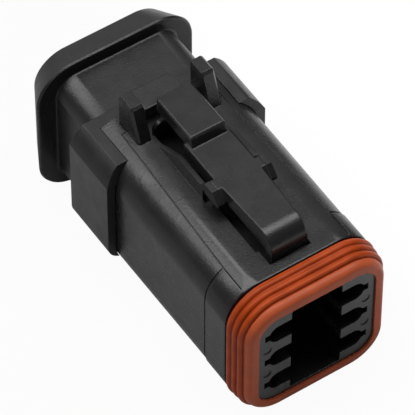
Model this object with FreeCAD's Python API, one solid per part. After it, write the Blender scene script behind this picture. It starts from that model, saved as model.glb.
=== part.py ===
import FreeCAD, Part
import math
import os

# Six-way rectangular sealed plug: a moulded housing with a rocking latch lever on top,
# a ribbed interface seal round the nose, a wire seal in the rear chamber and a flanged
# end cap whose two arms run forward over the flanks.
# Working frame: x across, y from the seal's front face towards the wires, z up from the
# connector's axis. The parts are moved to stand on z = 0 when they are written.
# The shell's three sizes drive the rest: other sizes are steps and gaps from them.

V = FreeCAD.Vector

# Shell of the housing
shell_half_width = 11.55
shell_half_height = 11.27
shell_length = 34.4
shell_corner_radius = 5.4
shell_draft = 0.18
shell_skin = 2.0
seal_length = 5.0
shell_front_y = seal_length
shell_rear_y = shell_front_y + shell_length
collar_length = 4.7
collar_step = 0.16
collar_root = 0.4
collar_front_round = 0.3
collar_rear_y = shell_front_y + collar_length
round_steps = 2

# Mould line along each upper corner of the shell, with a jog near the rear
parting_line_width = 0.16
parting_line_depth = 0.14
parting_line_start = 0.7
parting_line_front_inset = 2.95
parting_line_rear_inset = 3.95
parting_line_jog = 0.65
parting_line_jog_setback = 3.0
parting_line_end_setback = 0.5
parting_line_front_x = shell_half_width - parting_line_front_inset
parting_line_rear_x = shell_half_width - parting_line_rear_inset
parting_line_jog_y = shell_rear_y - parting_line_jog_setback
parting_line_end_y = shell_rear_y - parting_line_end_setback

# Nose: the block that carries the contact cavities, inside the interface seal
nose_recess = 0.3
nose_side_step = 2.05
nose_top_step = 2.31
nose_corner_radius = 3.25
nose_half_width = shell_half_width - nose_side_step
nose_half_height = shell_half_height - nose_top_step

# Rear chamber for the wire seal
chamber_depth = 5.5
chamber_side_wall = 2.95
chamber_top_wall = 2.47
chamber_corner_radius = 2.4
chamber_half_width = shell_half_width - chamber_side_wall
chamber_half_height = shell_half_height - chamber_top_wall
chamber_front_y = shell_rear_y - chamber_depth

# Contact cavities, two columns of three rows, open to a middle well for a wedge
cavity_radius = 1.62
column_inset = 3.4
row_edge = 3.72
column_x = nose_half_width - column_inset
row_pitch = nose_half_height - row_edge
cavity_rows = [row * row_pitch for row in (-1, 0, 1)]
cavity_columns = [-column_x, column_x]
wedge_opening_side = 2.0
wedge_opening_strip = 0.45
wedge_opening_corner = 0.5
wedge_wall = 11.9
wedge_opening_half_width = column_x - wedge_opening_side
wedge_opening_depth = chamber_front_y - wedge_wall
cavity_slot_step = 2.0
cavity_slot_depth = wedge_opening_depth - cavity_slot_step
cavity_slot_overlap = 0.4
key_tip_wall = 1.12
key_half_height = 0.62
key_depth = 4.0
key_tip_x = nose_half_width - key_tip_wall
finger_thickness = 0.75
finger_half_height = 1.15
finger_front_y = 8.5
finger_gap = 0.1
finger_root = 0.5
hook_height = 0.8
hook_length = 2.2
hook_crest_share = 0.7

# Round marks that the mould's ejector pins leave on the nose
pin_mark_radius = 0.72
pin_mark_depth = 0.12
pin_mark_inset = 1.5
pin_mark_x = nose_half_width - pin_mark_inset
pin_mark_z = row_pitch / 2

# Interface seal
seal_inset = 0.36
seal_corner_radius = shell_corner_radius
seal_base_half_width = shell_half_width - seal_inset
seal_base_half_height = shell_half_height - seal_inset
seal_band_length = 1.15
seal_band_edge = 0.5
seal_rib_pitch = 1.12
seal_groove_rises = (0.0, 0.3, 0.45)
seal_rib_rises = (0.5, 0.72, 0.72)
seal_rib_foot_drop = 0.25
seal_groove_half = 0.12
seal_groove_drop = 0.1
seal_core_inset = 0.6
seal_rib_facets = 3

# Latch lever: a plate that rocks on two torsion bars, with a hooked nose and a thumb pad
lever_half_width = 3.3
lever_rise = 4.13
lever_thickness = 2.4
lever_front_thickness = 3.1
lever_taper = 0.45
lever_nose_setback = 1.95
lever_nose_round = 3.0
lever_nose_chamfer = 0.15
lever_narrow_length = 3.1
lever_dip = 0.35
hook_wall = 1.6
lever_nose_y = shell_front_y + lever_nose_setback
lever_narrow_y = lever_nose_y + lever_narrow_length
lever_front_half_width = lever_half_width - lever_taper
lever_top_z = shell_half_height + lever_rise
lever_tip_z = shell_half_height - lever_dip
hinge_share = 0.4186
hinge_drop = 0.9
hinge_y = shell_front_y + hinge_share * shell_length
hinge_z = lever_top_z - hinge_drop
lever_wide_offset = 1.1
lever_slope_offset = 3.0
lever_wide_y = hinge_y + lever_wide_offset
lever_slope_y = hinge_y - lever_slope_offset

# Thumb pad, at the lever's rear end
pad_setback = 4.04
pad_length = 8.7
pad_slope = 0.46
pad_rise = 1.7
pad_sink = 0.6
pad_corner_radius = 0.6
pad_edge_chamfer = 0.25
pad_half_width = lever_front_half_width
pad_rear_y = shell_rear_y - pad_setback
pad_front_y = pad_rear_y - pad_length
pad_front_foot_y = pad_front_y - pad_slope
pad_top_z = lever_top_z + pad_rise
pad_bottom_z = lever_top_z - pad_sink
lever_pad_lap = 0.94
lever_rear_y = pad_front_y + lever_pad_lap

# Pocket under the lever, narrower round the hooked nose
rail_gap = 0.7
rail_thickness = 0.68
rail_inner_x = lever_half_width + rail_gap
rail_outer_x = rail_inner_x + rail_thickness
pocket_depth = 1.67
pocket_side_step = 0.25
pocket_nose_length = 2.8
pocket_nose_gap = 0.45
pocket_front_gap = 0.25
pocket_floor_z = shell_half_height - pocket_depth
pocket_half_width = rail_inner_x - pocket_side_step
pocket_front_y = lever_nose_y - pocket_front_gap
pocket_nose_half_width = lever_front_half_width + pocket_nose_gap
pocket_corner_offset = 0.8
pocket_corner_y = hinge_y + pocket_corner_offset

# Rails beside the lever, and the torsion bars that join them to it
rail_front_offset = 1.5
rail_front_y = hinge_y + rail_front_offset
rail_drop = 1.4
rail_top_z = lever_top_z - rail_drop
rail_slope_setback = 12.4
rail_rear_setback = 7.0
rail_slope_y = shell_rear_y - rail_slope_setback
rail_rear_y = shell_rear_y - rail_rear_setback
rail_sink = 0.1
bar_outer_step = 0.12
bar_half_length = 0.9
bar_toe_length = 1.5
bar_toe_drop = 1.5
bar_depth = 2.0
bar_root_lap = 0.2
bar_root_length = 1.2
bar_root_drop = 0.05
bar_overlap = 0.8
bar_gap = 0.02
bar_outer_x = rail_outer_x + bar_outer_step
bar_front_y = hinge_y - bar_half_length
bar_rear_y = hinge_y + bar_half_length
bar_toe_y = bar_front_y - bar_toe_length
bar_toe_z = lever_top_z - bar_toe_drop
bar_bottom_z = lever_top_z - bar_depth
bar_root_y = bar_rear_y - bar_root_lap
bar_root_rear_y = bar_rear_y + bar_root_length

# Stop wall under the thumb pad
stop_gap = 1.5
stop_setback = 5.5
stop_thickness = 0.6
stop_side_step = 0.05
stop_corner_radius = 1.2
stop_root = 0.2
stop_front_y = shell_rear_y - stop_setback
stop_half_width = rail_inner_x - stop_side_step
stop_top_z = pad_bottom_z - stop_gap

# Guard ears beside the thumb pad
ear_gap = 0.17
ear_thickness = 2.0
ear_rise = 1.55
ear_foot_setback = 6.2
ear_top_front_setback = 4.1
ear_top_rear_setback = 1.1
ear_rear_setback = 1.2
ear_root = 1.0
ear_edge_chamfer = 0.35
ear_inner_x = rail_outer_x + ear_gap
ear_outer_x = ear_inner_x + ear_thickness
ear_top_z = lever_top_z + ear_rise

# Well between the ears, behind the stop wall
well_depth = 1.3
well_tongue_lap = 0.4

# Wire seal in the rear chamber
wire_seal_gap = 0.05
wire_seal_rib_height = 0.35
wire_seal_rib_count = 2
wire_hole_radius = 1.0

# End cap
cap_gap = 0.06
arm_clearance = 0.08
arm_side_step = 1.5
arm_reach = 7.5
arm_front_slant = 1.1
arm_slant_height = 2.6
arm_bottom_step = 2.77
cap_collar_radius = 3.0
cap_collar_length = 2.0
cap_collar_rise = 0.15
neck_side_step = 1.65
neck_top_step = 0.77
neck_corner_radius = 3.3
neck_length = 10.33
neck_wall = 1.6
neck_flange_fillet = 0.5
web_thickness = 3.0
web_rim = 1.2
web_window_radius = 1.6
flange_side_step = 3.02
flange_top_step = 2.05
flange_corner_radius = 6.16
flange_rim_round = 0.45
flange_length = 4.37
flange_side_taper = 2.12
flange_top_taper = 1.35
flange_corner_taper = 1.11
neck_half_width = shell_half_width - neck_side_step
neck_half_height = shell_half_height - neck_top_step
cap_collar_half_width = shell_half_width + arm_side_step
cap_collar_top_z = neck_half_height + cap_collar_rise
cap_collar_bottom_z = arm_bottom_step - shell_half_height
cap_collar_rear_y = shell_rear_y + cap_collar_length
arm_front_y = shell_rear_y - arm_reach
flange_half_width = neck_half_width + flange_side_step
flange_half_height = neck_half_height + flange_top_step
flange_front_y = shell_rear_y + neck_length
flange_rear_y = flange_front_y + flange_length

# Tongue of the cap, between the ears
tongue_side_step = 0.05
tongue_setback = 2.15
tongue_rear_step = 0.1
tongue_rise = 1.53
tongue_root = 1.0
tongue_edge_radius = 0.25
tongue_half_width = lever_half_width - tongue_side_step
tongue_front_y = shell_rear_y - tongue_setback
tongue_rear_y = cap_collar_rear_y - tongue_rear_step
tongue_top_z = shell_half_height + tongue_rise

# Ramp on each flank that holds the cap's arm
catch_half_height = 3.0
catch_height = 0.6
catch_root = 0.3
catch_setback = 5.8
catch_length = 2.6
catch_clearance = 0.12
catch_front_y = shell_rear_y - catch_setback

# Place in the row's frame
flange_drop = flange_half_height
overall_length = flange_rear_y
cut_margin = 1.0
tiny = 1e-4


def rounded_rect(half_width, half_height, radius, y, centre_z=0.0):
    """Closed wire round the axis at one y, starting low on the right side."""
    w, h, r = half_width, half_height, radius
    edges = []
    corners = [(w - r, h - r, 0), (r - w, h - r, 90), (r - w, r - h, 180), (w - r, r - h, 270)]
    ends = []
    for cx, cz, start in corners:
        arc_points = []
        for angle in (start, start + 45, start + 90):
            a = math.radians(angle)
            arc_points.append(V(cx + r * math.cos(a), y, centre_z + cz + r * math.sin(a)))
        ends.append(arc_points)
    for i, arc_points in enumerate(ends):
        before = ends[i - 1]
        edges.append(Part.makeLine(before[2], arc_points[0]))
        edges.append(Part.Arc(*arc_points).toShape())
    return Part.Wire(edges)


def rounded_prism(half_width, half_height, radius, y0, y1, centre_z=0.0):
    wire = rounded_rect(half_width, half_height, radius, y0, centre_z)
    return Part.Face(wire).extrude(V(0, y1 - y0, 0))


def swept_band(half_width, half_height, radius, outline):
    """Closed (rise, y) outline carried round a rounded rectangle, rise measured outwards."""
    path = rounded_rect(half_width, half_height, radius, 0.0)
    foot_z = radius - half_height
    corners = [V(half_width + rise, y, foot_z) for rise, y in outline]
    section = Part.makePolygon(corners + corners[:1])
    return path.makePipeShell([section], True, False)


def block(x0, x1, y0, y1, z0, z1):
    return Part.makeBox(x1 - x0, y1 - y0, z1 - z0, V(x0, y0, z0))


def polygon_face(corners):
    return Part.Face(Part.makePolygon(corners + corners[:1]))


def side_profile(points, x0, x1):
    """Closed outline of (y, z) points, extruded across from x0 to x1."""
    return polygon_face([V(x0, y, z) for y, z in points]).extrude(V(x1 - x0, 0, 0))


def bore(radius, x, z, y0, y1):
    return Part.makeCylinder(radius, y1 - y0, V(x, y0, z), V(0, 1, 0))


def mirrored(shape):
    return shape.mirror(V(0, 0, 0), V(1, 0, 0))


def both_sides(shape):
    return [shape, mirrored(shape)]


def quarter_turns():
    """Sine and cosine at even steps of a quarter turn, its start left out."""
    turns = []
    for step in range(1, round_steps + 1):
        a = math.pi / 2 * step / round_steps
        turns.append((math.sin(a), math.cos(a)))
    return turns


def shell_size(y):
    """Half width and half height of the shell, which grows towards the rear."""
    growth = shell_draft * (y - shell_front_y) / shell_length
    return shell_half_width + growth, shell_half_height + growth


def shell_solid(offset=0.0, outline=None):
    """The shell's outer form grown by an offset, or with an outline of its own."""
    if outline is None:
        outline = [(offset, shell_front_y), (shell_draft + offset, shell_rear_y)]
    ends = [(-shell_skin, shell_rear_y), (-shell_skin, shell_front_y)]
    skin = swept_band(shell_half_width, shell_half_height, shell_corner_radius, outline + ends)
    inset = shell_skin / 2
    core = rounded_prism(shell_half_width - inset, shell_half_height - inset,
                         shell_corner_radius - inset, shell_front_y, shell_rear_y)
    return skin.fuse(core).removeSplitter()


def front_round(rise):
    """Rounded front edge of the shell or its collar, as (rise, y) points."""
    r = collar_front_round
    points = [(rise - r, shell_front_y)]
    for sine, cosine in quarter_turns():
        points.append((rise - r + r * sine, shell_front_y + r - r * cosine))
    return points


def between_mould_lines(y0, y1):
    """Block over the top and bottom of the shell, from one mould line to the other."""
    reach = shell_half_height + cut_margin
    return block(-parting_line_front_x, parting_line_front_x, y0, y1, -reach, reach)


def collared_shell():
    """Shell with the slightly proud collar that lies on its flanks, behind the seal."""
    shell = shell_solid(outline=front_round(0.0) + [(shell_draft, shell_rear_y)])
    root = -collar_root
    outline = front_round(collar_step) + [(collar_step, collar_rear_y), (root, collar_rear_y)]
    outline.append((root, shell_front_y))
    collar = swept_band(shell_half_width, shell_half_height, shell_corner_radius, outline)
    collar = collar.cut(between_mould_lines(shell_front_y - cut_margin, collar_rear_y + cut_margin))
    return shell.fuse(collar)


def edges_where(shape, test):
    return [edge for edge in shape.Edges if test(edge)]


def parting_grooves():
    """Fine mould line along each upper corner of the shell and behind the flank's collar."""
    skin = shell_solid(parting_line_depth + collar_step).cut(shell_solid(-parting_line_depth))
    half = parting_line_width / 2
    front_x, rear_x = parting_line_front_x, parting_line_rear_x
    y0, y1, y2 = collar_rear_y, parting_line_jog_y, parting_line_end_y
    start_y = shell_front_y + parting_line_start
    jog_x = rear_x - parting_line_jog
    lines = [[(front_x - half, start_y), (front_x + half, start_y), (front_x + half, y0),
              (rear_x + half, y1), (rear_x - half, y1), (front_x - half, y0)],
             [(jog_x - half, y1), (rear_x + half, y1), (rear_x + half, y1 + 2 * half),
              (jog_x - half, y1 + 2 * half)],
             [(jog_x - half, y1), (jog_x + half, y1), (jog_x + half, y2), (jog_x - half, y2)]]
    blades = []
    for line in lines:
        face = polygon_face([V(x, y, 0) for x, y in line])
        blades.append(face.extrude(V(0, 0, 2 * shell_half_height)))
    reach = shell_half_height + cut_margin
    blades.append(block(front_x, shell_half_width + cut_margin, y0, y0 + 2 * half, -reach, reach))
    return both_sides(blades[0].multiFuse(blades[1:]).common(skin))


def nose_solid():
    return rounded_prism(nose_half_width, nose_half_height, nose_corner_radius,
                         nose_recess, shell_front_y + cut_margin)


def nose_cuts():
    """Wedge opening, contact cavities, their slots and key slots, and the pin marks."""
    front = nose_recess - cut_margin
    half_height = nose_half_height - wedge_opening_strip
    cuts = [rounded_prism(wedge_opening_half_width, half_height, wedge_opening_corner,
                          front, wedge_opening_depth)]
    for x in cavity_columns:
        side = math.copysign(1.0, x)
        for z in cavity_rows:
            cuts.append(bore(cavity_radius, x, z, front, chamber_front_y + cut_margin))
            slot = sorted((side * (wedge_opening_half_width - cavity_slot_overlap), x))
            cuts.append(block(slot[0], slot[1], front, cavity_slot_depth,
                              z - cavity_radius, z + cavity_radius))
            key = sorted((x, side * key_tip_x))
            cuts.append(block(key[0], key[1], front, key_depth,
                              z - key_half_height, z + key_half_height))
        for z in (-pin_mark_z, pin_mark_z):
            cuts.append(bore(pin_mark_radius, side * pin_mark_x, z,
                             front, nose_recess + pin_mark_depth))
    return cuts


def locking_finger(x, z):
    """Springy strip beside one cavity, hooked at its free front end."""
    side = math.copysign(1.0, x)
    outer = wedge_opening_half_width - finger_gap
    inner = outer - finger_thickness
    rear = wedge_opening_depth + finger_root
    corners = [(inner, rear), (inner, finger_front_y), (outer, finger_front_y)]
    corners += [(outer + hook_height, finger_front_y + hook_length * hook_crest_share)]
    corners += [(outer, finger_front_y + hook_length), (outer, rear)]
    face = polygon_face([V(side * cx, cy, z - finger_half_height) for cx, cy in corners])
    return face.extrude(V(0, 0, 2 * finger_half_height))


def pocket_solid():
    """Room for the lever: a wide pocket, a narrower bay for its nose, room at the bars."""
    top = shell_half_height + cut_margin
    nose_end_y = pocket_front_y + pocket_nose_length
    bays = [(pocket_nose_half_width, pocket_front_y, nose_end_y),
            (pocket_half_width, nose_end_y, rail_front_y),
            (rail_inner_x, pocket_corner_y, stop_front_y),
            (rail_outer_x, pocket_corner_y, rail_front_y)]
    solids = [block(-half, half, y0, y1, pocket_floor_z, top) for half, y0, y1 in bays]
    return solids[0].multiFuse(solids[1:])


def bar_outline():
    """Side view of a torsion bar with its sloping toe."""
    return [(bar_toe_y, bar_bottom_z), (bar_toe_y, bar_toe_z), (bar_front_y, lever_top_z),
            (bar_rear_y, lever_top_z), (bar_rear_y, bar_bottom_z)]


def rail_solid():
    """Wall beside the lever that ends in the root of the torsion bar."""
    low = pocket_floor_z
    _, surface = shell_size(rail_rear_y)
    outline = [(rail_front_y, low), (rail_front_y, rail_top_z), (rail_slope_y, rail_top_z),
               (rail_rear_y, surface - rail_sink), (rail_rear_y, low)]
    rail = side_profile(outline, rail_inner_x, rail_outer_x)
    root = side_profile(bar_outline(), rail_inner_x, bar_outer_x)
    link = side_profile([(bar_root_y, bar_bottom_z), (bar_root_y, lever_top_z),
                         (bar_rear_y, lever_top_z), (bar_root_rear_y, rail_top_z - bar_root_drop),
                         (bar_root_rear_y, bar_bottom_z)], rail_inner_x, rail_outer_x)
    return rail.multiFuse([root, link])


def stop_wall():
    """Wall that the thumb pad meets at the end of its travel."""
    wall = block(-stop_half_width, stop_half_width, stop_front_y, stop_front_y + stop_thickness,
                 pocket_floor_z - stop_root, stop_top_z)

    def top_corner(edge):
        along_y = abs(edge.Vertexes[0].Y - edge.Vertexes[-1].Y) > stop_thickness / 2
        return along_y and edge.Vertexes[0].Z > stop_top_z - tiny
    return wall.makeFillet(stop_corner_radius, edges_where(wall, top_corner))


def ear_solid():
    """Upright guard beside the thumb pad, sloped at the front."""
    foot_y = shell_rear_y - ear_foot_setback
    foot_z = shell_half_height - ear_root
    outline = [(foot_y, foot_z), (foot_y, shell_half_height),
               (shell_rear_y - ear_top_front_setback, ear_top_z),
               (shell_rear_y - ear_top_rear_setback, ear_top_z),
               (shell_rear_y - ear_rear_setback, foot_z)]
    ear = side_profile(outline, ear_inner_x, ear_outer_x)
    front_y = shell_rear_y - ear_top_front_setback

    def bevelled(edge):
        ends = edge.Vertexes
        upper = min(v.Z for v in ends) > ear_top_z - tiny
        outer = min(v.X for v in ends) > ear_outer_x - tiny
        forward = max(v.Y for v in ends) < front_y + tiny
        rising = max(v.Z for v in ends) > ear_top_z - tiny
        return (upper and (outer or forward)) or (outer and forward and rising)
    return ear.makeChamfer(ear_edge_chamfer, edges_where(ear, bevelled))


def ear_well():
    """Sunk floor between the ears, from the stop wall to under the cap's tongue."""
    return block(-ear_inner_x, ear_inner_x, stop_front_y, tongue_front_y + well_tongue_lap,
                 shell_half_height - well_depth, shell_half_height + cut_margin)


def flank_catch():
    """Ramp on the flank that the cap's arm snaps over."""
    w, _ = shell_size(catch_front_y)
    low = -catch_half_height
    ramp = polygon_face([V(w - catch_root, catch_front_y, low),
                         V(w + catch_height, catch_front_y, low),
                         V(w - catch_root, catch_front_y + catch_length, low)])
    return ramp.extrude(V(0, 0, 2 * catch_half_height))


def housing():
    solid = collared_shell().cut(Part.makeCompound(parting_grooves()))
    solid = solid.fuse(nose_solid()).cut(pocket_solid()).cut(ear_well())
    cuts = nose_cuts()
    cuts.append(rounded_prism(chamber_half_width, chamber_half_height, chamber_corner_radius,
                              chamber_front_y, shell_rear_y + cut_margin))
    for cut in cuts:
        solid = solid.cut(cut)
    added = [stop_wall()]
    for shape in (rail_solid(), ear_solid(), flank_catch()):
        added.extend(both_sides(shape))
    for x in cavity_columns:
        for z in cavity_rows:
            added.append(locking_finger(x, z))
    return solid.multiFuse(added).removeSplitter()


def lever_plate():
    """Top view of the lever, extruded to more than its height."""
    narrow, wide = lever_front_half_width, lever_half_width
    right = [(narrow, lever_nose_y - cut_margin), (narrow, lever_narrow_y), (wide, lever_wide_y),
             (wide, lever_rear_y)]
    face = polygon_face([V(x, y, 0) for x, y in right] + [V(-x, y, 0) for x, y in reversed(right)])
    return face.extrude(V(0, 0, 2 * lever_top_z))


def lever_side():
    """Side view of the lever: rounded brow, hooked nose, underside that thins rearwards."""
    x = -lever_half_width - cut_margin
    nose, top, r, c = lever_nose_y, lever_top_z, lever_nose_round, lever_nose_chamfer
    under, front_under = top - lever_thickness, top - lever_front_thickness
    bend = math.sqrt(0.5) * r
    arc = Part.Arc(V(x, nose, top - r), V(x, nose + r - bend, top - r + bend), V(x, nose + r, top))
    points = [V(x, nose + r, top), V(x, lever_rear_y, top), V(x, lever_rear_y, under),
              V(x, lever_slope_y, under), V(x, nose + hook_wall, front_under),
              V(x, nose + hook_wall, lever_tip_z), V(x, nose + c, lever_tip_z),
              V(x, nose, lever_tip_z + c), V(x, nose, top - r)]
    edges = [Part.makeLine(a, b) for a, b in zip(points, points[1:])]
    outline = Part.Wire(edges + [arc.toShape()])
    return Part.Face(outline).extrude(V(-2 * x, 0, 0))


def thumb_pad():
    pad = side_profile([(pad_front_foot_y, pad_bottom_z), (pad_front_foot_y, lever_top_z),
                        (pad_front_y, pad_top_z), (pad_rear_y, pad_top_z),
                        (pad_rear_y, pad_bottom_z)], -pad_half_width, pad_half_width)

    def rear_corner(edge):
        upright = abs(edge.Vertexes[0].Z - edge.Vertexes[-1].Z) > pad_rise / 2
        return upright and min(v.Y for v in edge.Vertexes) > pad_rear_y - tiny
    pad = pad.makeFillet(pad_corner_radius, edges_where(pad, rear_corner))

    def upper(edge):
        return min(v.Z for v in edge.Vertexes) > pad_top_z - tiny
    return pad.makeChamfer(pad_edge_chamfer, edges_where(pad, upper))


def latch_lever():
    body = lever_side().common(lever_plate())
    bar = side_profile(bar_outline(), lever_half_width - bar_overlap, rail_inner_x - bar_gap)
    return body.multiFuse([thumb_pad()] + both_sides(bar)).removeSplitter()


def seal_outline():
    """Section of the seal's outside, from the front band over the ribs to the shell."""
    inner = -2 * seal_core_inset
    outline = [(inner, 0.0), (-seal_band_edge, 0.0)]
    for sine, cosine in quarter_turns():
        outline.append((seal_band_edge * (sine - 1), seal_band_edge * (1 - cosine)))
    y = seal_band_length
    outline.append((0.0, y))
    for groove, rib in zip(seal_groove_rises, seal_rib_rises):
        start_y = y + seal_groove_half
        outline.append((groove - seal_groove_drop, start_y))
        y += seal_rib_pitch
        foot = max(groove, rib - seal_rib_foot_drop)
        crest = rib - (groove + foot) / 2
        for step in range(1, seal_rib_facets + 1):
            share = step / seal_rib_facets
            rise = groove + (foot - groove) * share + crest * math.sin(math.pi * share)
            outline.append((rise, start_y + (y - start_y) * share))
    outline.append((foot, seal_length))
    outline.append((inner, seal_length))
    return outline


def front_seal():
    ribbed = swept_band(seal_base_half_width, seal_base_half_height, seal_corner_radius,
                        seal_outline())
    inset = seal_core_inset
    core = rounded_prism(seal_base_half_width - inset, seal_base_half_height - inset,
                         seal_corner_radius - inset, 0.0, seal_length)
    core = core.cut(rounded_prism(nose_half_width, nose_half_height, nose_corner_radius,
                                  -cut_margin, seal_length + cut_margin))
    return core.fuse(ribbed).removeSplitter()


def wire_seal():
    """Block with squeeze ribs outside and a hole for each wire."""
    front = chamber_front_y + wire_seal_gap
    rear = shell_rear_y
    w = chamber_half_width - wire_seal_gap
    h = chamber_half_height - wire_seal_gap
    r = chamber_corner_radius - wire_seal_gap
    rib = wire_seal_rib_height
    solid = rounded_prism(w - rib, h - rib, r - rib, front, rear)
    pitch = (rear - front) / wire_seal_rib_count
    for i in range(wire_seal_rib_count):
        y = front + (i + 0.5) * pitch
        solid = solid.fuse(rounded_prism(w, h, r, y - pitch / 4, y + pitch / 4))
    for x in cavity_columns:
        for z in cavity_rows:
            solid = solid.cut(bore(wire_hole_radius, x, z, front - cut_margin, rear + cut_margin))
    return solid.removeSplitter()


def cap_collar():
    """Collar behind the housing with the two arms, cut clear of the shell."""
    top, bottom = cap_collar_top_z, cap_collar_bottom_z
    section = rounded_prism(cap_collar_half_width, (top - bottom) / 2, cap_collar_radius,
                            arm_front_y, cap_collar_rear_y, (top + bottom) / 2)
    front_y = arm_front_y - cut_margin
    foot_z = top - arm_slant_height
    slope = [(front_y, foot_z), (arm_front_y, foot_z),
             (arm_front_y + arm_front_slant, top + cut_margin), (front_y, top + cut_margin)]
    wide = cap_collar_half_width + cut_margin
    section = section.cut(side_profile(slope, -wide, wide))
    outline = [(arm_clearance, shell_front_y), (shell_draft + arm_clearance, shell_rear_y),
               (shell_draft + arm_clearance, shell_rear_y + cap_gap),
               (-shell_skin, shell_rear_y + cap_gap)]
    room = shell_solid(outline=outline)
    room = room.fuse(rounded_prism(neck_half_width, neck_half_height, neck_corner_radius,
                                   shell_front_y, shell_rear_y + cap_gap))
    return section.cut(room)


def catch_windows():
    """Blind recess in each arm's inner face for the flank ramp."""
    c = catch_clearance
    w, _ = shell_size(catch_front_y)
    window = block(w - cut_margin, w + catch_height + c, catch_front_y - c,
                   catch_front_y + catch_length + c, -catch_half_height - c, catch_half_height + c)
    return both_sides(window)


def neck_fillet():
    """Rounded inside corner where the neck meets the flange."""
    r = neck_flange_fillet
    y = flange_front_y
    outline = [(-r, y + r), (-r, y - r), (0.0, y - r)]
    for sine, cosine in quarter_turns():
        outline.append((r * (1 - cosine), y - r + r * sine))
    outline.append((r, y + r))
    return swept_band(neck_half_width, neck_half_height, neck_corner_radius, outline)


def flange():
    """Rim with a rounded front edge, tapering to the rear."""
    w, h, corner, r = flange_half_width, flange_half_height, flange_corner_radius, flange_rim_round
    y = flange_front_y
    outline = [(-2 * r, y + r), (-2 * r, y), (-r, y)]
    for sine, cosine in quarter_turns():
        outline.append((r * (sine - 1), y + r * (1 - cosine)))
    rim = swept_band(w, h, corner, outline)
    core = rounded_prism(w - r, h - r, corner - r, y, y + r)
    tail = Part.makeLoft([
        rounded_rect(w, h, corner, y + r),
        rounded_rect(w - flange_side_taper, h - flange_top_taper,
                     corner - flange_corner_taper, flange_rear_y)], True, True)
    return core.multiFuse([rim, tail])


def cap_tongue():
    """Tongue that lies between the ears, on the shell's rear end."""
    _, surface = shell_size(shell_rear_y)
    half = tongue_half_width
    tongue = block(-half, half, tongue_front_y, tongue_rear_y, surface + cap_gap, tongue_top_z)
    foot = block(-half, half, shell_rear_y + cap_gap, tongue_rear_y,
                 neck_half_height - tongue_root, tongue_top_z)
    tongue = tongue.fuse(foot).removeSplitter()

    def upper(edge):
        return min(v.Z for v in edge.Vertexes) > tongue_top_z - tiny
    return tongue.makeFillet(tongue_edge_radius, edges_where(tongue, upper))


def end_cap():
    front = shell_rear_y + cap_gap
    neck = rounded_prism(neck_half_width, neck_half_height, neck_corner_radius,
                         front, flange_front_y + neck_flange_fillet)
    body = neck.multiFuse([flange(), neck_fillet(), cap_collar(), cap_tongue()])
    wall = neck_wall
    room = rounded_prism(neck_half_width - wall, neck_half_height - wall,
                         neck_corner_radius - wall / 2, front + web_thickness,
                         flange_rear_y + cut_margin)
    window = rounded_prism(chamber_half_width - web_rim, chamber_half_height - web_rim,
                           web_window_radius, front - cut_margin, flange_rear_y)
    body = body.cut(room).cut(window)
    return body.cut(Part.makeCompound(catch_windows())).removeSplitter()


def write(name, shape):
    placed = shape.translated(V(0, -overall_length / 2, flange_drop))
    solids = placed.Solids
    print(name, "solids", len(solids), "valid", placed.isValid(), "volume", round(placed.Volume, 2))
    placed = solids[0] if len(solids) == 1 else placed
    placed.exportStep("parts/%s.step" % name)


os.makedirs("parts", exist_ok=True)
write("housing", housing())
write("latch_lever", latch_lever())
write("front_seal", front_seal())
write("wire_seal", wire_seal())
write("end_cap", end_cap())
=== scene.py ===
import math

import bmesh
import bpy
from mathutils import Matrix, Vector


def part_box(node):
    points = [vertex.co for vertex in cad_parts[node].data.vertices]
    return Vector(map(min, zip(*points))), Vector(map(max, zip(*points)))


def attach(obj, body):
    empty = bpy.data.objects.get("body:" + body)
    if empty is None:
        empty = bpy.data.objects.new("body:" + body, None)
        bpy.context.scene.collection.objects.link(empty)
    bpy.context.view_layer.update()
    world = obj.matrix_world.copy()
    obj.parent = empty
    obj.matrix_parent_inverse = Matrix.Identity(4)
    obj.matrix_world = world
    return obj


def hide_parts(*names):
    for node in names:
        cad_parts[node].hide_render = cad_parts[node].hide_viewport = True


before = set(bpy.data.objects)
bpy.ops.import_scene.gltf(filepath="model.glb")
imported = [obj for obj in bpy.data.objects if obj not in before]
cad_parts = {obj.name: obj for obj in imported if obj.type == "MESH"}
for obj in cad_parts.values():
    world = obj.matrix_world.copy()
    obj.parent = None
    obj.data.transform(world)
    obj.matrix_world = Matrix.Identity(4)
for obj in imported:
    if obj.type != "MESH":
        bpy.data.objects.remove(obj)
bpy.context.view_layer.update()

MM = 0.001

# Axis of the connector and front of its seal, in metres, from the frame
front_seal_low, front_seal_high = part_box("front_seal")
axis_z = (front_seal_low.z + front_seal_high.z) / 2
front_y = front_seal_low.y

# Interface seal, in millimetres
seal_base_half_width = 11.2
seal_base_half_height = 10.9
seal_corner_radius = 5.4
seal_band_length = 1.15
seal_band_round = 0.85
seal_length = 5.0
seal_rib_pitch = 1.12
seal_groove_half = 0.12
seal_groove_rises = (0.0, 0.3, 0.45)
seal_groove_drop = 0.1
seal_rear_rise = 0.47
seal_rear_gap = 0.3
seal_rear_drop = 0.6
seal_rib_count = 3
seal_rib_seat = 0.14
seal_rib_growth = 0.1
seal_rib_rise = 0.42
seal_rib_half_length = 0.47
seal_arc_steps = 12
seal_corner_steps = 24
seal_section_steps = 20

# Nose of the housing, inside the seal, in millimetres
nose_half_width = 9.5
nose_half_height = 8.96
nose_corner_radius = 3.25

# Copies of CAD meshes: points this close in millimetres merge, faces within this angle rejoin
merge_distance = 0.002
rejoin_angle = 0.7

# Shading: faces wider than this in millimetres are flats, edges above these angles are sharp
flat_width = 1.1
sharp_angle = 28
seal_sharp_angle = 50

# Groove across the flanks behind the shell's collar, in millimetres behind the seal's front
collar_groove_rear = 9.86
collar_groove_growth = 0.3
collar_groove_from_x = 8.5
collar_groove_reach = 0.01

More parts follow.
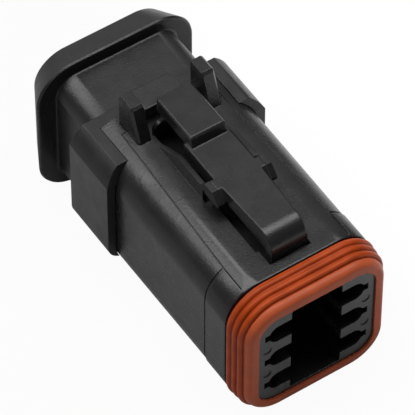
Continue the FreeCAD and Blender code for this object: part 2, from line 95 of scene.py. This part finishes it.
# Upper corners of the end cap's arms, in millimetres: ends, centre and radius of the solid's round
arm_front_y = 31.9
arm_rear_y = 41.4
arm_corner_x = 10.05
arm_corner_z = 7.65
arm_corner_radius = 3.0
arm_end_reach = 0.1
arm_round_reach = 0.03
arm_tangent_reach = 0.01

# Slanted front edge of the arms: slope, height where it starts and where its points end
arm_slant = 0.304
arm_slant_foot = 0.4
arm_slant_end_y = 33.0

# Crease in those corners: angle from upright, place, and swell of the shallow round below it
crease_turn = 12.86
crease_turn_reach = 0.2
crease_across = 0.78
crease_swell = 0.25
crease_swell_across = 0.8
crease_swell_upward = 0.6

# Noise: the middle stretch of its values, which colours and roughness are spread over
noise_middle = (0.3, 0.7)

# Black moulded plastic: darkest and lightest colour, roughness, strength of the grain
body_blacks = ((0.009, 0.009, 0.0092, 1), (0.014, 0.014, 0.0142, 1))
lever_blacks = ((0.01, 0.01, 0.0102, 1), (0.015, 0.015, 0.0152, 1))
housing_rough = (0.23, 0.31)
lever_rough = (0.24, 0.31)
cap_rough = (0.3, 0.4)
housing_grain = 0.8
lever_grain = 0.6
cap_grain = 0.9
plastic_shine = 0.35

# Orange silicone, with a paler painted sheen (a painted highlight of the softbox) on the front
# band that fades out over some millimetres
seal_oranges = ((0.25, 0.033, 0.005, 1), (0.34, 0.048, 0.008, 1))
seal_rough = (0.3, 0.38)
wire_seal_rough = (0.45, 0.55)
silicone_grain = 0.5
silicone_shine = 0.11
painted_sheen_share = 0.24
painted_sheen_fade = 0.1
painted_sheen_colour = (0.5, 0.16, 0.09, 1)

# Noise of the finishes: waves per metre, detail, roughness; depth of the grain in millimetres
plastic_tone_noise = (260.0, 3.0, 0.5)
plastic_rough_noise = (420.0, 4.0, 0.5)
plastic_grain_noise = (3400.0, 3.0, 0.6)
plastic_grain_depth = 0.04
silicone_tone_noise = (380.0, 4.0, 0.5)
silicone_rough_noise = (900.0, 3.0, 0.5)
silicone_grain_noise = (3600.0, 3.0, 0.6)
silicone_grain_depth = 0.01

# Edge rounds in the shading, in millimetres
housing_edge_round = 0.12
lever_edge_round = 0.32
cap_edge_round = 0.12
seal_edge_round = 0.05
edge_samples = 8

# Camera, from the photograph's perspective: angles in degrees, lengths in millimetres
camera_azimuth = -33.8
camera_elevation = 51.72
camera_roll = 0.14
camera_distance = 566.39
camera_side = -14.827
camera_rise = 17.555
camera_lens = 364.3
camera_near = 10.0
sensor_width = 36.0

# Floor, in metres: greys at shares of its stretch along Y, painted as shade next to the connector
# and far in front and as a pool of light in front of it, lighter towards the right along X as
# painted light
floor_half_size = 2.0
floor_white_share = 0.955
floor_glossy_share = 0.1
floor_y = (-0.4, 0.0)
floor_painted_greys = ((0.1, 0.08), (0.45, 0.62), (0.9, 0.62), (0.95, 0.3))
floor_painted_light_x = (0.012, 0.03)
floor_painted_light_gain = 0.5

# Sky: strengths in front and behind, the tilt of its brightest place from upright in degrees
sky_strengths = (0.08, 0.6)
sky_tilt = 37.0
sky_reach = (0.35, 0.85)

# One long softbox overhead and behind, in metres and watts
softbox_place = (-0.2, 0.213, 0.7)
softbox_long = (-0.908, 0.418, 0.0)
softbox_length = 1.4
softbox_width = 0.36
softbox_power = 9.4

# Inputs of the tree that makes the seal's ribs
rib_inputs = (
    ("NodeSocketFloat", ("Path Width", "Path Height", "Corner Radius", "Rib Rise",
                         "Rib Half Length", "First Rib", "Rib Pitch")),
    ("NodeSocketInt", ("Rib Count", "Corner Steps", "Section Steps")),
    ("NodeSocketVector", ("Rib Growth", "Axis Place")),
    ("NodeSocketMaterial", ("Material",)),
)


def link_object(name, data):
    """New object in the scene, at the origin."""
    piece = bpy.data.objects.new(name, data)
    bpy.context.scene.collection.objects.link(piece)
    return piece


def add_node(tree, kind, inputs, **settings):
    """Node with its settings, and each input linked to a socket or set to a value."""
    node = tree.nodes.new(kind)
    for name, value in settings.items():
        setattr(node, name, value)
    for name, value in inputs.items():
        if isinstance(value, bpy.types.NodeSocket):
            tree.links.new(value, node.inputs[name])
        else:
            node.inputs[name].default_value = value
    return node


def empty_tree(owner):
    """Node tree of a material or a world, with nothing in it."""
    owner.use_nodes = True
    owner.node_tree.nodes.clear()
    return owner.node_tree


def object_place(tree):
    """X, Y and Z of the object coordinates, in metres."""
    place = add_node(tree, "ShaderNodeTexCoord", {})
    split = add_node(tree, "ShaderNodeSeparateXYZ", {"Vector": place.outputs["Object"]})
    return split.outputs


def noise(tree, scale, detail, roughness):
    """Noise on object coordinates; the scale is in waves per metre."""
    place = add_node(tree, "ShaderNodeTexCoord", {})
    texture = add_node(tree, "ShaderNodeTexNoise", {
        "Vector": place.outputs["Object"], "Scale": scale, "Detail": detail,
        "Roughness": roughness})
    return texture.outputs["Fac"]


def ramp(tree, factor, steps):
    """Colour along a factor, from rising steps of place and colour."""
    node = add_node(tree, "ShaderNodeValToRGB", {"Fac": factor})
    elements = node.color_ramp.elements
    for step, (at, colour) in enumerate(steps):
        if step > 1:
            elements.new(at)
        elements[step].position = at
        elements[step].color = colour
    return node.outputs["Color"]


def spread(tree, factor, values, reach=noise_middle):
    """Number that runs from one value to the other while a factor runs over its reach."""
    node = add_node(tree, "ShaderNodeMapRange", {
        "Value": factor, "From Min": reach[0], "From Max": reach[1],
        "To Min": values[0], "To Max": values[1]})
    return node.outputs["Result"]


def calculate(tree, operation, first, second):
    """Result of one operation on two numbers or sockets."""
    node = add_node(tree, "ShaderNodeMath", {0: first, 1: second}, operation=operation)
    return node.outputs["Value"]


def grained_normal(tree, grain_noise, strength, depth, edge_round):
    """Grain on top of softened edges; the edges are rounded in the shading alone."""
    edges = add_node(tree, "ShaderNodeBevel", {"Radius": edge_round * MM}, samples=edge_samples)
    grain = add_node(tree, "ShaderNodeBump", {
        "Height": noise(tree, *grain_noise), "Strength": strength, "Distance": depth * MM,
        "Normal": edges.outputs["Normal"]})
    return grain.outputs["Normal"]


def add_surface(tree, inputs):
    """Main shader of a finish, with its inputs, as the material's surface."""
    shader = add_node(tree, "ShaderNodeBsdfPrincipled", inputs)
    add_node(tree, "ShaderNodeOutputMaterial", {"Surface": shader.outputs["BSDF"]})


def moulded_plastic(name, blacks, rough, grain, edge_round):
    """Black moulded plastic: fine matte grain, with broad uneven gloss and tone."""
    material = bpy.data.materials.new(name)
    tree = empty_tree(material)
    add_surface(tree, {
        "Base Color": ramp(tree, noise(tree, *plastic_tone_noise), zip(noise_middle, blacks)),
        "Roughness": spread(tree, noise(tree, *plastic_rough_noise), rough),
        "Specular IOR Level": plastic_shine,
        "Normal": grained_normal(tree, plastic_grain_noise, grain, plastic_grain_depth,
                                 edge_round)})
    return material


def silicone(name, rough):
    """Silicone rubber: soft sheen, a paler painted highlight on the front band and fine specks."""
    material = bpy.data.materials.new(name)
    tree = empty_tree(material)
    add_surface(tree, {
        "Base Color": orange_with_painted_sheen(tree),
        "Roughness": spread(tree, noise(tree, *silicone_rough_noise), rough),
        "Specular IOR Level": silicone_shine,
        "Normal": grained_normal(tree, silicone_grain_noise, silicone_grain,
                                 silicone_grain_depth, seal_edge_round)})
    return material


def orange_with_painted_sheen(tree):
    """Uneven orange, with a painted highlight that makes it paler as far back as the seal's front
    band reaches.
    """
    tone = ramp(tree, noise(tree, *silicone_tone_noise), zip(noise_middle, seal_oranges))
    band_end = front_y + seal_band_length * MM
    # Share of the painted highlight: full on the front band, fading out behind it
    share = spread(tree, object_place(tree)["Y"], (painted_sheen_share, 0.0),
                   (band_end, band_end + painted_sheen_fade * MM))
    paler = add_node(tree, "ShaderNodeMix", {"Factor": share}, data_type="RGBA")
    colour_a, colour_b = [socket for socket in paler.inputs if socket.type == "RGBA"]
    tree.links.new(tone, colour_a)
    colour_b.default_value = painted_sheen_colour
    return next(socket for socket in paler.outputs if socket.type == "RGBA")


def dressed_copy(node, name, material, reshape=None):
    """Merged copy of a CAD node, flat faces rejoined and curved ones shaded smooth."""
    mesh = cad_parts[node].data.copy()
    mesh.name = name
    work = bmesh.new()
    work.from_mesh(mesh)
    bmesh.ops.remove_doubles(work, verts=work.verts, dist=merge_distance * MM)
    bmesh.ops.dissolve_limit(work, angle_limit=math.radians(rejoin_angle), verts=work.verts,
                             edges=work.edges, use_dissolve_boundaries=False)
    work.to_mesh(mesh)
    work.free()
    if reshape:
        reshape(mesh)
    mesh.materials.clear()
    mesh.materials.append(material)
    mesh.shade_smooth()
    mesh.normals_split_custom_set(moulded_normals(mesh))
    return link_object(name, mesh)


def moulded_normals(mesh):
    """Normal at each face corner: flats stay flat and rounds run smoothly into them."""
    work = bmesh.new()
    work.from_mesh(mesh)
    limit = math.cos(math.radians(sharp_angle))
    flat = [face.calc_area() > flat_width * MM * max(edge.calc_length() for edge in face.edges)
            for face in work.faces]
    normals = []
    for face in work.faces:
        for corner in face.loops:
            normal = face.normal.copy()
            if not flat[face.index]:
                near = [other for other in corner.vert.link_loops
                        if other.face.normal.dot(face.normal) > limit]
                flats = [other for other in near if flat[other.face.index]]
                total = Vector()
                for other in flats or near:
                    total += other.face.normal * other.calc_angle()
                normal = total.normalized()
            normals.append(normal)
    work.free()
    return normals


def widen_collar_groove(mesh):
    """Groove behind the shell's collar, opened towards the rear so that it shows."""
    for vertex in mesh.vertices:
        behind = vertex.co.y - front_y - collar_groove_rear * MM
        on_flank = abs(vertex.co.x) > collar_groove_from_x * MM
        if abs(behind) < collar_groove_reach * MM and on_flank:
            vertex.co.y += collar_groove_growth * MM


def on_arm_round(station, across, upward):
    """Whether a point is on the solid's round at the upper corner of an arm."""
    on_arm = arm_front_y - arm_end_reach < station < arm_rear_y + arm_end_reach
    on_round = abs(math.hypot(across, upward) - arm_corner_radius) < arm_round_reach
    return on_arm and on_round and min(across, upward) >= -arm_tangent_reach


def creased(across, upward):
    """Place of a point of the round on the creased corner, from the round's centre."""
    turn = math.degrees(math.atan2(across, upward))
    if turn <= crease_turn - crease_turn_reach:
        return across, arm_corner_radius
    if turn < crease_turn + crease_turn_reach:
        return crease_across, arm_corner_radius
    share = (turn - crease_turn) / (90 - crease_turn)
    swell = crease_swell * 4 * share * (1 - share)
    across = crease_across + (arm_corner_radius - crease_across) * share
    upward = arm_corner_radius * (1 - share)
    return across + crease_swell_across * swell, upward + crease_swell_upward * swell


def crease_arm_corners(mesh):
    """Upper corners of the cap's arms: flat to a crease, then a shallow round to the flank."""
    for vertex in mesh.vertices:
        station = (vertex.co.y - front_y) / MM
        across = abs(vertex.co.x) / MM - arm_corner_x
        upward = (vertex.co.z - axis_z) / MM - arm_corner_z
        if not on_arm_round(station, across, upward):
            continue
        across, upward = creased(across, upward)
        vertex.co.x = math.copysign(arm_corner_x + across, vertex.co.x) * MM
        vertex.co.z = axis_z + (arm_corner_z + upward) * MM
        if station < arm_slant_end_y:
            station = arm_front_y + arm_slant * max(0.0, upward - arm_slant_foot)
            vertex.co.y = front_y + station * MM


def ring_points(half_width, half_height, radius, y):
    """Points of a rounded rectangle round the connector's axis."""
    points = []
    corners = ((1, 1, 0), (-1, 1, 90), (-1, -1, 180), (1, -1, 270))
    for side_x, side_z, start in corners:
        for step in range(seal_corner_steps + 1):
            turn = math.radians(start + 90 * step / seal_corner_steps)
            x = side_x * (half_width - radius) + radius * math.cos(turn)
            z = side_z * (half_height - radius) + radius * math.sin(turn)
            points.append(Vector((x * MM, front_y + y * MM, axis_z + z * MM)))
    return points


def loft_rings(name, rings, material):
    """Closed solid through rings that return to the first one."""
    work = bmesh.new()
    loops = [[work.verts.new(point) for point in ring] for ring in rings]
    for here, there in zip(loops, loops[1:] + loops[:1]):
        count = len(here)
        for i in range(count):
            j = (i + 1) % count
            work.faces.new((here[i], here[j], there[j], there[i]))
    bmesh.ops.recalc_face_normals(work, faces=work.faces)
    mesh = bpy.data.meshes.new(name)
    work.to_mesh(mesh)
    work.free()
    mesh.materials.append(material)
    mesh.shade_smooth()
    mesh.set_sharp_from_angle(angle=math.radians(seal_sharp_angle))
    return link_object(name, mesh)


def seal_outside_ring(rise, y):
    """Ring on the outside of the seal, at a rise above its base."""
    return ring_points(seal_base_half_width + rise, seal_base_half_height + rise,
                       seal_corner_radius + rise, y)


def seal_band_rings():
    """The seal without its ribs: rounded front band, floor of each groove, rear and bore."""
    rings = [seal_outside_ring(-seal_band_round, 0.0)]
    for step in range(1, seal_arc_steps + 1):
        turn = step / seal_arc_steps * math.pi / 2
        rings.append(seal_outside_ring(-seal_band_round * (1 - math.sin(turn)),
                                       seal_band_length * (1 - math.cos(turn))))
    y = seal_band_length
    for rise in seal_groove_rises:
        rings.append(seal_outside_ring(rise - seal_groove_drop, y + seal_groove_half))
        rings.append(seal_outside_ring(rise, y + 2 * seal_groove_half))
        y += seal_rib_pitch
    rings.append(seal_outside_ring(seal_rear_rise, y))
    rings.append(seal_outside_ring(seal_rear_rise, seal_length - seal_rear_gap))
    rings.append(seal_outside_ring(-seal_rear_drop, seal_length - seal_rear_gap))
    rings.append(seal_outside_ring(-seal_rear_drop, seal_length))
    for y in (seal_length, 0.0):
        rings.append(ring_points(nose_half_width, nose_half_height, nose_corner_radius, y))
    return rings


def rib_path(tree, given):
    """Rounded rectangle that a rib follows."""
    path = add_node(tree, "GeometryNodeCurvePrimitiveQuadrilateral", {
        "Width": given["Path Width"], "Height": given["Path Height"]})
    corners = add_node(tree, "GeometryNodeFilletCurve", {
        "Curve": path.outputs["Curve"], "Count": given["Corner Steps"],
        "Radius": given["Corner Radius"]}, mode="POLY")
    return corners.outputs["Curve"]


def rib_section(tree, given):
    """Section of a rib: a circle of radius 1, squashed to the rib's rise and half length."""
    circle = add_node(tree, "GeometryNodeCurvePrimitiveCircle", {
        "Radius": 1.0, "Resolution": given["Section Steps"]})
    size = add_node(tree, "ShaderNodeCombineXYZ", {
        "X": given["Rib Rise"], "Y": given["Rib Half Length"], "Z": 1.0})
    squashed = add_node(tree, "GeometryNodeTransform", {
        "Geometry": circle.outputs["Curve"], "Scale": size.outputs["Vector"]})
    return squashed.outputs["Geometry"]


def rib_stations(tree, given):
    """Points along the axis, one for each rib."""
    first = add_node(tree, "ShaderNodeCombineXYZ", {"Z": given["First Rib"]})
    pitch = add_node(tree, "ShaderNodeCombineXYZ", {"Z": given["Rib Pitch"]})
    line = add_node(tree, "GeometryNodeMeshLine", {
        "Count": given["Rib Count"], "Start Location": first.outputs["Vector"],
        "Offset": pitch.outputs["Vector"]})
    return line.outputs["Mesh"]


def rib_scale(tree, given):
    """Size of each rib, a little larger than that of the rib in front of it."""
    index = add_node(tree, "GeometryNodeInputIndex", {})
    size = add_node(tree, "ShaderNodeVectorMath", {
        0: given["Rib Growth"], 1: index.outputs["Index"], 2: (1.0, 1.0, 1.0)},
        operation="MULTIPLY_ADD")
    return size.outputs["Vector"]


def rib_tree():
    """Geometry Nodes: round ribs swept along a rounded rectangle, one behind the other."""
    tree = bpy.data.node_groups.new("seal_ribs", "GeometryNodeTree")
    for in_out in ("INPUT", "OUTPUT"):
        tree.interface.new_socket("Geometry", in_out=in_out, socket_type="NodeSocketGeometry")
    for kind, labels in rib_inputs:
        for label in labels:
            tree.interface.new_socket(label, in_out="INPUT", socket_type=kind)
    given = add_node(tree, "NodeGroupInput", {}).outputs
    rib = add_node(tree, "GeometryNodeCurveToMesh", {
        "Curve": rib_path(tree, given), "Profile Curve": rib_section(tree, given)})
    ribs = add_node(tree, "GeometryNodeInstanceOnPoints", {
        "Points": rib_stations(tree, given), "Instance": rib.outputs["Mesh"],
        "Scale": rib_scale(tree, given)})
    turned = add_node(tree, "GeometryNodeTransform", {
        "Geometry": ribs.outputs["Instances"], "Rotation": (-math.pi / 2, 0.0, 0.0),
        "Translation": given["Axis Place"]})
    real = add_node(tree, "GeometryNodeRealizeInstances", {"Geometry": turned.outputs["Geometry"]})
    coloured = add_node(tree, "GeometryNodeSetMaterial", {
        "Geometry": real.outputs["Geometry"], "Material": given["Material"]})
    add_node(tree, "NodeGroupOutput", {"Geometry": coloured.outputs["Geometry"]})
    return tree


def set_inputs(modifier, values):
    """Modifier inputs by name, looked up as socket identifiers."""
    for item in modifier.node_group.interface.items_tree:
        if item.in_out == "INPUT" and item.name in values:
            modifier[item.identifier] = values[item.name]


def seal_ribs(material):
    """The ribs as a plain mesh, made by their tree."""
    holder = link_object("seal_ribs", bpy.data.meshes.new("seal_ribs"))
    modifier = holder.modifiers.new("ribs", "NODES")
    modifier.node_group = rib_tree()
    growth = seal_rib_growth / seal_base_half_width
    set_inputs(modifier, {
        "Path Width": 2 * (seal_base_half_width + seal_rib_seat) * MM,
        "Path Height": 2 * (seal_base_half_height + seal_rib_seat) * MM,
        "Corner Radius": (seal_corner_radius + seal_rib_seat) * MM,
        "Rib Rise": seal_rib_rise * MM,
        "Rib Half Length": seal_rib_half_length * MM,
        "First Rib": (seal_band_length + seal_groove_half + seal_rib_pitch / 2) * MM,
        "Rib Pitch": seal_rib_pitch * MM,
        "Rib Count": seal_rib_count,
        "Corner Steps": seal_corner_steps,
        "Section Steps": seal_section_steps,
        "Rib Growth": (growth, growth, 0.0),
        "Axis Place": (0.0, front_y, axis_z),
        "Material": material,
    })
    mesh = bpy.data.meshes.new_from_object(
        holder.evaluated_get(bpy.context.evaluated_depsgraph_get()))
    holder.modifiers.clear()
    holder.data = mesh
    mesh.shade_smooth()
    return holder


def ribbed_seal(material):
    """Band and ribs joined into the one moulded seal."""
    band = loft_rings("interface_seal_ribbed", seal_band_rings(), material)
    ribs = seal_ribs(material)
    work = bmesh.new()
    work.from_mesh(ribs.data)
    bmesh.ops.recalc_face_normals(work, faces=work.faces)
    work.from_mesh(band.data)
    work.to_mesh(band.data)
    work.free()
    bpy.data.objects.remove(ribs)
    return band


def stand(name, data, right, upward, back, place):
    """Camera or lamp at its place, turned by where its right, top and back point."""
    thing = link_object(name, data)
    turn = Matrix((right, upward, back)).transposed().to_4x4()
    thing.matrix_world = Matrix.Translation(place) @ turn
    return thing


def camera_frame():
    """Camera axes and place, in the CAD's frame."""
    azimuth = math.radians(camera_azimuth)
    elevation = math.radians(camera_elevation)
    roll = math.radians(camera_roll)
    back = Vector((math.sin(azimuth) * math.cos(elevation),
                   -math.cos(azimuth) * math.cos(elevation), math.sin(elevation)))
    level = Vector((math.cos(azimuth), math.sin(azimuth), 0.0))
    upward = back.cross(level)
    right = level * math.cos(roll) + upward * math.sin(roll)
    rise = -level * math.sin(roll) + upward * math.cos(roll)
    place = back * camera_distance + right * camera_side + rise * camera_rise
    place = place * MM + Vector((0.0, front_y, axis_z))
    return right, rise, back, place


def add_camera():
    """The photograph's camera."""
    data = bpy.data.cameras.new("photo_camera")
    data.sensor_width = sensor_width
    data.sensor_fit = "HORIZONTAL"
    data.lens = camera_lens
    data.clip_start = camera_near * MM
    bpy.context.scene.camera = stand("photo_camera", data, *camera_frame())


def add_softbox():
    """Long lamp above the connector, level, with its long side turned across the view."""
    data = bpy.data.lights.new("softbox", "AREA")
    data.shape = "RECTANGLE"
    data.size = softbox_length
    data.size_y = softbox_width
    data.energy = softbox_power
    along = Vector(softbox_long).normalized()
    upward = Vector((0.0, 0.0, 1.0))
    stand("softbox", data, along, upward.cross(along), upward, softbox_place)


def seen_directly(tree, camera_share, mirror_share):
    """A share for camera rays, one for mirror and glass rays, 0 for rays that carry light."""
    path = add_node(tree, "ShaderNodeLightPath", {}).outputs
    mirrored = calculate(tree, "MAXIMUM", path["Is Glossy Ray"], path["Is Transmission Ray"])
    return calculate(tree, "MAXIMUM",
                     calculate(tree, "MULTIPLY", path["Is Camera Ray"], camera_share),
                     calculate(tree, "MULTIPLY", mirrored, mirror_share))


def add_world():
    """Sky that is dark in front of the connector and bright above and behind it."""
    world = bpy.data.worlds.new("studio")
    bpy.context.scene.world = world
    tree = empty_tree(world)
    tilt = math.radians(sky_tilt)
    direction = add_node(tree, "ShaderNodeTexCoord", {})
    nearness = add_node(tree, "ShaderNodeVectorMath", {
        0: direction.outputs["Generated"], 1: (0.0, math.sin(tilt), math.cos(tilt))},
        operation="DOT_PRODUCT")
    strength = spread(tree, nearness.outputs["Value"], sky_strengths, sky_reach)
    sky = add_node(tree, "ShaderNodeBackground", {"Color": (1, 1, 1, 1), "Strength": strength})
    add_node(tree, "ShaderNodeOutputWorld", {"Surface": sky.outputs["Background"]})


def floor_material():
    """Greys of painted light and shade that light the connector from below, nearly white for the
    camera's own rays.
    """
    material = bpy.data.materials.new("floor_white")
    tree = empty_tree(material)
    place = object_place(tree)
    depth = spread(tree, place["Y"], (0.0, 1.0), floor_y)
    # Painted shade next to the connector and far in front, painted light in front of it and
    # towards the right
    painted_greys = ramp(tree, depth, [(at, (grey, grey, grey, 1)) for at, grey in floor_painted_greys])
    painted_light = spread(tree, place["X"], (0.0, floor_painted_light_gain), floor_painted_light_x)
    matte = add_node(tree, "ShaderNodeBsdfDiffuse", {"Color": calculate(tree, "ADD", painted_greys, painted_light)})
    plain = add_node(tree, "ShaderNodeEmission", {"Strength": 1.0})
    mix = add_node(tree, "ShaderNodeMixShader", {
        "Fac": seen_directly(tree, floor_white_share, floor_glossy_share),
        1: matte.outputs["BSDF"], 2: plain.outputs["Emission"]})
    add_node(tree, "ShaderNodeOutputMaterial", {"Surface": mix.outputs["Shader"]})
    return material


def add_floor():
    """Pale floor under the connector."""
    mesh = bpy.data.meshes.new("floor")
    work = bmesh.new()
    corners = [work.verts.new((x * floor_half_size, y * floor_half_size, 0.0))
               for x, y in ((-1, -1), (1, -1), (1, 1), (-1, 1))]
    work.faces.new(corners)
    work.to_mesh(mesh)
    work.free()
    mesh.materials.append(floor_material())
    link_object("floor", mesh)


housing_plastic = moulded_plastic("housing_black", body_blacks, housing_rough, housing_grain,
                                  housing_edge_round)
lever_plastic = moulded_plastic("lever_black", lever_blacks, lever_rough, lever_grain,
                                lever_edge_round)
cap_plastic = moulded_plastic("cap_black", body_blacks, cap_rough, cap_grain, cap_edge_round)
seal_material = silicone("seal_orange", seal_rough)
wire_seal_material = silicone("wire_seal_orange", wire_seal_rough)

seal = ribbed_seal(seal_material)
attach(seal, "connector_body")
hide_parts("front_seal")

body = dressed_copy("housing", "housing_shell", housing_plastic, widen_collar_groove)
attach(body, "connector_body")
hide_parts("housing")

lever = dressed_copy("latch_lever", "rocking_lever", lever_plastic)
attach(lever, "latch")
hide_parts("latch_lever")

cap = dressed_copy("end_cap", "flanged_end_cap", cap_plastic, crease_arm_corners)
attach(cap, "connector_body")
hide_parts("end_cap")

for material_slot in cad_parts["wire_seal"].material_slots:
    material_slot.material = wire_seal_material

add_floor()
add_world()
add_camera()
add_softbox()

view = bpy.context.scene.view_settings
view.view_transform = "Standard"
